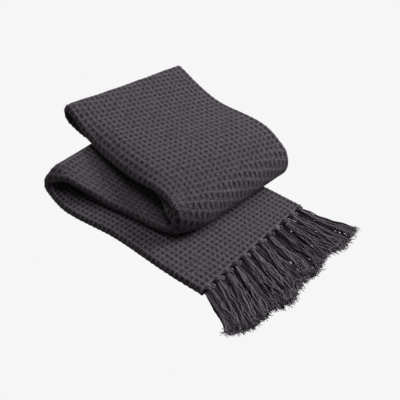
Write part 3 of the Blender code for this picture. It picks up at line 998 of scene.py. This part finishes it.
class Nodes:
    """A material's nodes, added and joined one by one."""

    def __init__(self, name, roughness):
        self.material = bpy.data.materials.new(name)
        self.material.use_nodes = True
        self.tree = self.material.node_tree
        self.shader = self.tree.nodes["Principled BSDF"]
        self.put(("Roughness", roughness), ("Specular IOR Level", 0.25))
        self.put(("Sheen Weight", 0.25), ("Sheen Roughness", 0.5))

    def put(self, *inputs):
        for name, value in inputs:
            self.shader.inputs[name].default_value = value

    def add(self, kind, **values):
        node = self.tree.nodes.new(kind)
        for key, value in values.items():
            setattr(node, key, value)
        return node

    def join(self, output, target):
        self.tree.links.new(output, target)

    def math(self, operation, first, second=None, clamp=False):
        node = self.add("ShaderNodeMath", operation=operation, use_clamp=clamp)
        for socket, value in zip(node.inputs, (first, second)):
            if isinstance(value, (int, float)):
                socket.default_value = value
            elif value is not None:
                self.join(value, socket)
        return node.outputs[0]

    def plus(self, first, second):
        return self.math("ADD", first, second)

    def minus(self, first, second, clamp=False):
        return self.math("SUBTRACT", first, second, clamp)

    def times(self, first, second, clamp=False):
        return self.math("MULTIPLY", first, second, clamp)

    def above(self, value, start, gain):
        """How far a value lies above its start, with this gain, from 0 to 1."""
        return self.times(self.minus(value, start), gain, clamp=True)

    def coordinates(self):
        """Places in the weave, these one by one (across or round, and along), and places in the object."""
        weave = self.add("ShaderNodeUVMap", uv_map="weave").outputs["UV"]
        parts = self.add("ShaderNodeSeparateXYZ")
        self.join(weave, parts.inputs[0])
        return weave, parts.outputs[:2], self.add("ShaderNodeTexCoord").outputs["Object"]

    def noise(self, vector, scale, detail=2.0):
        node = self.add("ShaderNodeTexNoise")
        node.inputs["Scale"].default_value = scale
        node.inputs["Detail"].default_value = detail
        self.join(vector, node.inputs["Vector"])
        return node.outputs["Fac"]

    def mottling(self, places, kind):
        return self.above(self.noise(places, kind.scale, kind.detail), kind.start, kind.gain)

    def mix(self, factor, first, second):
        node = self.add("ShaderNodeMix", data_type="RGBA")
        self.join(factor, node.inputs["Factor"])
        for name, value in (("A", first), ("B", second)):
            socket = next(s for s in node.inputs if s.name == name and s.type == "RGBA")
            if isinstance(value, bpy.types.NodeSocket):
                self.join(value, socket)
            else:
                socket.default_value = (*value, 1.0)
        return next(s for s in node.outputs if s.type == "RGBA")

    def bump(self, height, strength, distance):
        node = self.add("ShaderNodeBump")
        node.inputs["Strength"].default_value = strength
        node.inputs["Distance"].default_value = distance
        self.join(height, node.inputs["Height"])
        self.join(node.outputs["Normal"], self.shader.inputs["Normal"])


def shades(colour, shares):
    """The colour at these shares of its brightness."""
    return [[part * share for part in colour] for share in shares]


def less_on(made, row, rows):
    """1 for most rows of the weave, and less on these."""
    begun = made.above(row, rows[0], SLACK_GROWTH)
    not_over = made.times(made.minus(rows[1], row), SLACK_GROWTH, clamp=True)
    return made.minus(1.0, made.times(made.times(begun, not_over), SLACK_SHARE))


def waffle_material(light, dark):
    """Waffle woven cotton: slanted dark slits of painted shade, of uneven depth, crests lightened by a
    painted highlight, and mottled yarns.
    """
    made = Nodes("waffle woven cotton", roughness=0.92)
    weave, cell, places = made.coordinates()
    across, along = (made.minus(made.math("FRACT", part), 0.5) for part in cell)
    slanted = made.minus(across, made.times(along, SLIT_SLANT))
    scaled = [made.math("DIVIDE", place, width) for place, width in zip((slanted, along), SLIT_WIDTHS)]
    reach = made.math("SQRT", made.plus(*(made.times(size, size) for size in scaled)))
    ragged = made.times(made.minus(made.noise(places, SLIT_GRAIN), 0.5), SLIT_RAGGEDNESS)
    fading = made.times(made.plus(reach, ragged), SLIT_FADING)
    # The slit: painted shade, darkest in the middle of each cell's hollow
    slit_shade = made.minus(SLIT_DARKNESS, fading, clamp=True)
    whole = made.add("ShaderNodeVectorMath", operation="FLOOR")
    made.join(weave, whole.inputs[0])
    chance = made.add("ShaderNodeTexWhiteNoise", noise_dimensions="2D")
    made.join(whole.outputs[0], chance.inputs["Vector"])
    # How dark each slit's painted shade is, by chance cell by cell, and less on the slack rows
    depth = made.plus(made.times(chance.outputs["Value"], MORE_DARKNESS), LEAST_DARKNESS)
    depth = made.times(depth, less_on(made, cell[1], SLACK_ROWS))
    # Patches that vary how strong the painted shade in the slits is
    patches = made.mottling(places, SLIT_PATCHES)
    hollow = made.times(slit_shade, made.times(depth, patches), clamp=True)
    # The crests: a painted highlight along the ridges between the hollows, fainter on some rows
    crests = [
        made.above(made.math("ABSOLUTE", place), CREST_START, CREST_SHARPNESS) for place in (across, along)
    ]
    crest_highlight = made.times(made.math("MAXIMUM", *crests), less_on(made, cell[1], FAINT_CREST_ROWS))
    mottled = made.mottling(places, COTTON_MOTTLING)
    plain_part = made.mix(mottled, *shades(light, PLAIN_SHADES))
    highlight_part = made.mix(mottled, *shades(light, CREST_HIGHLIGHT_SHADES))
    ridge = made.mix(crest_highlight, plain_part, highlight_part)
    # The ridges' colour, darkened towards the painted shade colour in the slits
    made.join(made.mix(hollow, ridge, dark), made.shader.inputs["Base Color"])
    threads = [made.math("SINE", made.times(part, 2 * math.pi * CELL_YARNS)) for part in cell]
    height = made.plus(made.times(*threads), made.times(mottled, MOTTLING_HEIGHT))
    made.bump(height, strength=0.5, distance=0.0004)
    return made.material


def yarn_material(name, light, dark):
    """Twisted cotton yarn: each a little lighter or darker than the next, with painted shade in the grooves
    between its plies.
    """
    made = Nodes(name, roughness=0.9)
    _, (around, along), places = made.coordinates()
    turned = made.plus(made.times(around, YARN_PLIES), made.times(along, YARN_TWISTS))
    ply = made.plus(made.times(made.math("SINE", made.times(turned, 2 * math.pi)), 0.5), 0.5)
    chance = made.add("ShaderNodeTexWhiteNoise", noise_dimensions="1D")
    made.join(made.math("FLOOR", around), chance.inputs["W"])
    shade = made.mix(chance.outputs["Value"], *shades(light, YARN_SHADES))
    # Painted shade in the grooves between the plies
    groove_shade = made.times(made.minus(1.0, ply), GROOVE_SHADE)
    made.join(made.mix(groove_shade, shade, dark), made.shader.inputs["Base Color"])
    height = made.plus(ply, made.times(made.noise(places, FUR_GRAIN), FUR_HEIGHT))
    made.bump(height, strength=0.6, distance=0.0005)
    return made.material


def floor_material(glow):
    """A pale floor that only gives off light, so that no shadow falls on it."""
    made = Nodes("plain pale floor", roughness=0.9)
    made.put(("Base Color", (0.0, 0.0, 0.0, 1.0)), ("Sheen Weight", 0.0), ("Specular IOR Level", 0.0))
    made.put(("Emission Color", (1.0, 1.0, 1.0, 1.0)), ("Emission Strength", glow))
    return made.material


# ---- Operators ----


def add_piece(context, mesh, material, solid):
    """Adds a finished piece, which rides on the throw's body and stands for this solid."""
    bpy.ops.object.select_all(action="DESELECT")
    piece = bpy.data.objects.new(mesh.name, mesh)
    context.scene.collection.objects.link(piece)
    piece.select_set(True)
    context.view_layer.objects.active = piece
    bpy.ops.object.shade_smooth_by_angle(angle=math.radians(SMOOTH_ANGLE))
    mesh.materials.append(material)
    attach(piece, BODY)
    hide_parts(solid)
    piece.select_set(False)
    return piece


class ThrowSettings(bpy.types.PropertyGroup):
    cloth_thickness: bpy.props.FloatProperty(
        name="Cloth thickness",
        description="From the ridges on one side to those on the other",
        default=0.0037,
        unit="LENGTH",
    )
    hollow_depth: bpy.props.FloatProperty(
        name="Hollow depth",
        description="How deep the waffle's hollows are below its ridges",
        default=0.0023,
        unit="LENGTH",
    )
    yarn_width: bpy.props.FloatProperty(
        name="Yarn width",
        description="Thickness of the yarns in the fringe",
        default=0.0024,
        unit="LENGTH",
    )
    cloth_colour: bpy.props.FloatVectorProperty(
        name="Cloth colour",
        description="Colour of the waffle's ridges",
        default=(0.136, 0.112, 0.139),
        subtype="COLOR",
    )
    # Painted shade: the near black put into the waffle's slits and the grooves between a yarn's plies
    painted_shade_colour: bpy.props.FloatVectorProperty(
        name="Painted shade colour",
        description="Colour deep in the waffle's hollows and between a yarn's plies",
        default=(0.004, 0.003, 0.004),
        subtype="COLOR",
    )
    yarn_colour: bpy.props.FloatVectorProperty(
        name="Yarn colour",
        description="Colour of the fringe",
        default=(0.320, 0.262, 0.325),
        subtype="COLOR",
    )
    # A darker copy of the yarn colour: painted shade on the yarns that lie under the others
    lower_yarn_shaded_colour: bpy.props.FloatVectorProperty(
        name="Lower yarn colour in painted shade",
        description="Colour of the yarns that lie under the others",
        default=(0.060, 0.050, 0.062),
        subtype="COLOR",
    )
    floor_glow: bpy.props.FloatProperty(
        name="Floor brightness",
        description="How much light the pale floor gives off by itself",
        default=0.922,
    )


class THROW_OT_cloth(bpy.types.Operator):
    """Add the folded waffle weave cloth"""

    bl_idname = "throw.cloth"
    bl_label = "Cloth"

    def execute(self, context):
        settings = context.scene.throw_settings
        material = waffle_material(settings.cloth_colour, settings.painted_shade_colour)
        mesh = cloth_mesh("waffle_cloth", settings.cloth_thickness, settings.hollow_depth)
        cloth = add_piece(context, mesh, material, "blanket")
        return {"FINISHED"}


class THROW_OT_fringe(bpy.types.Operator):
    """Add the fringe: header, knots, yarns and their frayed ends"""

    bl_idname = "throw.fringe"
    bl_label = "Fringe"

    def execute(self, context):
        settings = context.scene.throw_settings
        # The painted shade colour, for the grooves between the yarns' plies
        grooves = settings.painted_shade_colour
        material = yarn_material("twisted cotton yarn", settings.yarn_colour, grooves)
        # A second yarn material with a darker colour: painted shade for the lower yarns
        shaded = yarn_material("twisted cotton yarn in painted shade", settings.lower_yarn_shaded_colour, grooves)
        random = np.random.default_rng(FRINGE_SEED)
        lower, lower_ends = fringe_yarns(TIERS[:2], settings.yarn_width, random, *LOWER_STEPS_AND_SIDES)
        upper, upper_ends = fringe_yarns(TIERS[2:], settings.yarn_width, random, *UPPER_STEPS_AND_SIDES)
        for mesh, made_of in (
            (header_mesh("fringe_header"), material),
            (knot_mesh("fringe_knots", np.random.default_rng(KNOT_SEED)), material),
            (mesh_of("fringe_lower_yarns", lower), shaded),
            (mesh_of("fringe_lower_frayed_ends", lower_ends), shaded),
            (mesh_of("fringe_upper_yarns", upper), material),
            (mesh_of("fringe_upper_frayed_ends", upper_ends), material),
        ):
            add_piece(context, mesh, made_of, "fringe")
        return {"FINISHED"}


def light_room(scene, wall_glow):
    """A room that lights the throw a little, with walls that the camera sees as bright as the floor."""
    world = bpy.data.worlds.new("soft white room")
    scene.world = world
    world.use_nodes = True
    nodes, links = world.node_tree.nodes, world.node_tree.links
    room, wall = nodes["Background"], nodes.new("ShaderNodeBackground")
    for background, strength in ((room, ROOM_LIGHT), (wall, wall_glow)):
        background.inputs["Color"].default_value = (1.0, 1.0, 1.0, 1.0)
        background.inputs["Strength"].default_value = strength
    seen = nodes.new("ShaderNodeLightPath").outputs["Is Camera Ray"]
    both = nodes.new("ShaderNodeMixShader")
    for output, place in zip((seen, room.outputs[0], wall.outputs[0]), both.inputs):
        links.new(output, place)
    links.new(both.outputs[0], nodes["World Output"].inputs["Surface"])


def add_camera(scene):
    """The camera, level and turned to its spot on the floor."""
    turn, down = math.radians(-CAMERA_TURN), math.radians(CAMERA_DOWN)
    aside = Vector((math.cos(turn), math.sin(turn), 0.0))
    away = Vector((-math.sin(turn), math.cos(turn), 0.0))
    ahead = away * math.cos(down) - Vector((0.0, 0.0, math.sin(down)))
    over = away * math.sin(down) + Vector((0.0, 0.0, math.cos(down)))
    spot = Vector((*CAMERA_SPOT, 0.0)) - ahead * CAMERA_DISTANCE
    view = bpy.data.cameras.new("camera")
    view.sensor_width = SENSOR
    view.lens = CAMERA_LENS
    view.clip_start = CAMERA_NEAR
    camera = bpy.data.objects.new("camera", view)
    scene.collection.objects.link(camera)
    columns = Matrix((aside, over, -ahead)).transposed().to_4x4()
    camera.matrix_world = Matrix.Translation(spot) @ columns
    scene.camera = camera


class THROW_OT_stage(bpy.types.Operator):
    """Add the floor, the lights and the camera"""

    bl_idname = "throw.stage"
    bl_label = "Stage"

    def execute(self, context):
        glow = context.scene.throw_settings.floor_glow
        bpy.ops.object.select_all(action="DESELECT")
        bpy.ops.mesh.primitive_plane_add(size=FLOOR_SIZE, location=(0.0, 0.0, 0.0))
        floor = context.active_object
        floor.name = "floor"
        floor.data.materials.append(floor_material(glow))
        floor.visible_diffuse = False
        floor.visible_glossy = False
        for lamp in LAMPS:
            bpy.ops.object.light_add(type="AREA", location=lamp.spot)
            light = context.active_object
            light.name = lamp.name
            light.data.size = lamp.size
            light.data.energy = lamp.watts
            light.rotation_euler = Vector(lamp.spot).to_track_quat("Z", "Y").to_euler()
        light_room(context.scene, glow)
        add_camera(context.scene)
        context.scene.view_settings.view_transform = "Standard"
        return {"FINISHED"}


class THROW_PT_panel(bpy.types.Panel):
    bl_idname = "THROW_PT_panel"
    bl_label = "Waffle Weave Throw"
    bl_space_type = "VIEW_3D"
    bl_region_type = "UI"
    bl_category = "Throw"

    def draw(self, context):
        for operator in (THROW_OT_cloth, THROW_OT_fringe, THROW_OT_stage):
            self.layout.operator(operator.bl_idname)
        for name in ThrowSettings.__annotations__:
            self.layout.prop(context.scene.throw_settings, name)


CLASSES = (ThrowSettings, THROW_OT_cloth, THROW_OT_fringe, THROW_OT_stage, THROW_PT_panel)


def register():
    for cls in CLASSES:
        bpy.utils.register_class(cls)
    bpy.types.Scene.throw_settings = bpy.props.PointerProperty(type=ThrowSettings)


def unregister():
    del bpy.types.Scene.throw_settings
    for cls in reversed(CLASSES):
        bpy.utils.unregister_class(cls)


def main():
    register()
    bpy.ops.throw.cloth()
    bpy.ops.throw.fringe()
    bpy.ops.throw.stage()


if __name__ == "__main__":
    main()
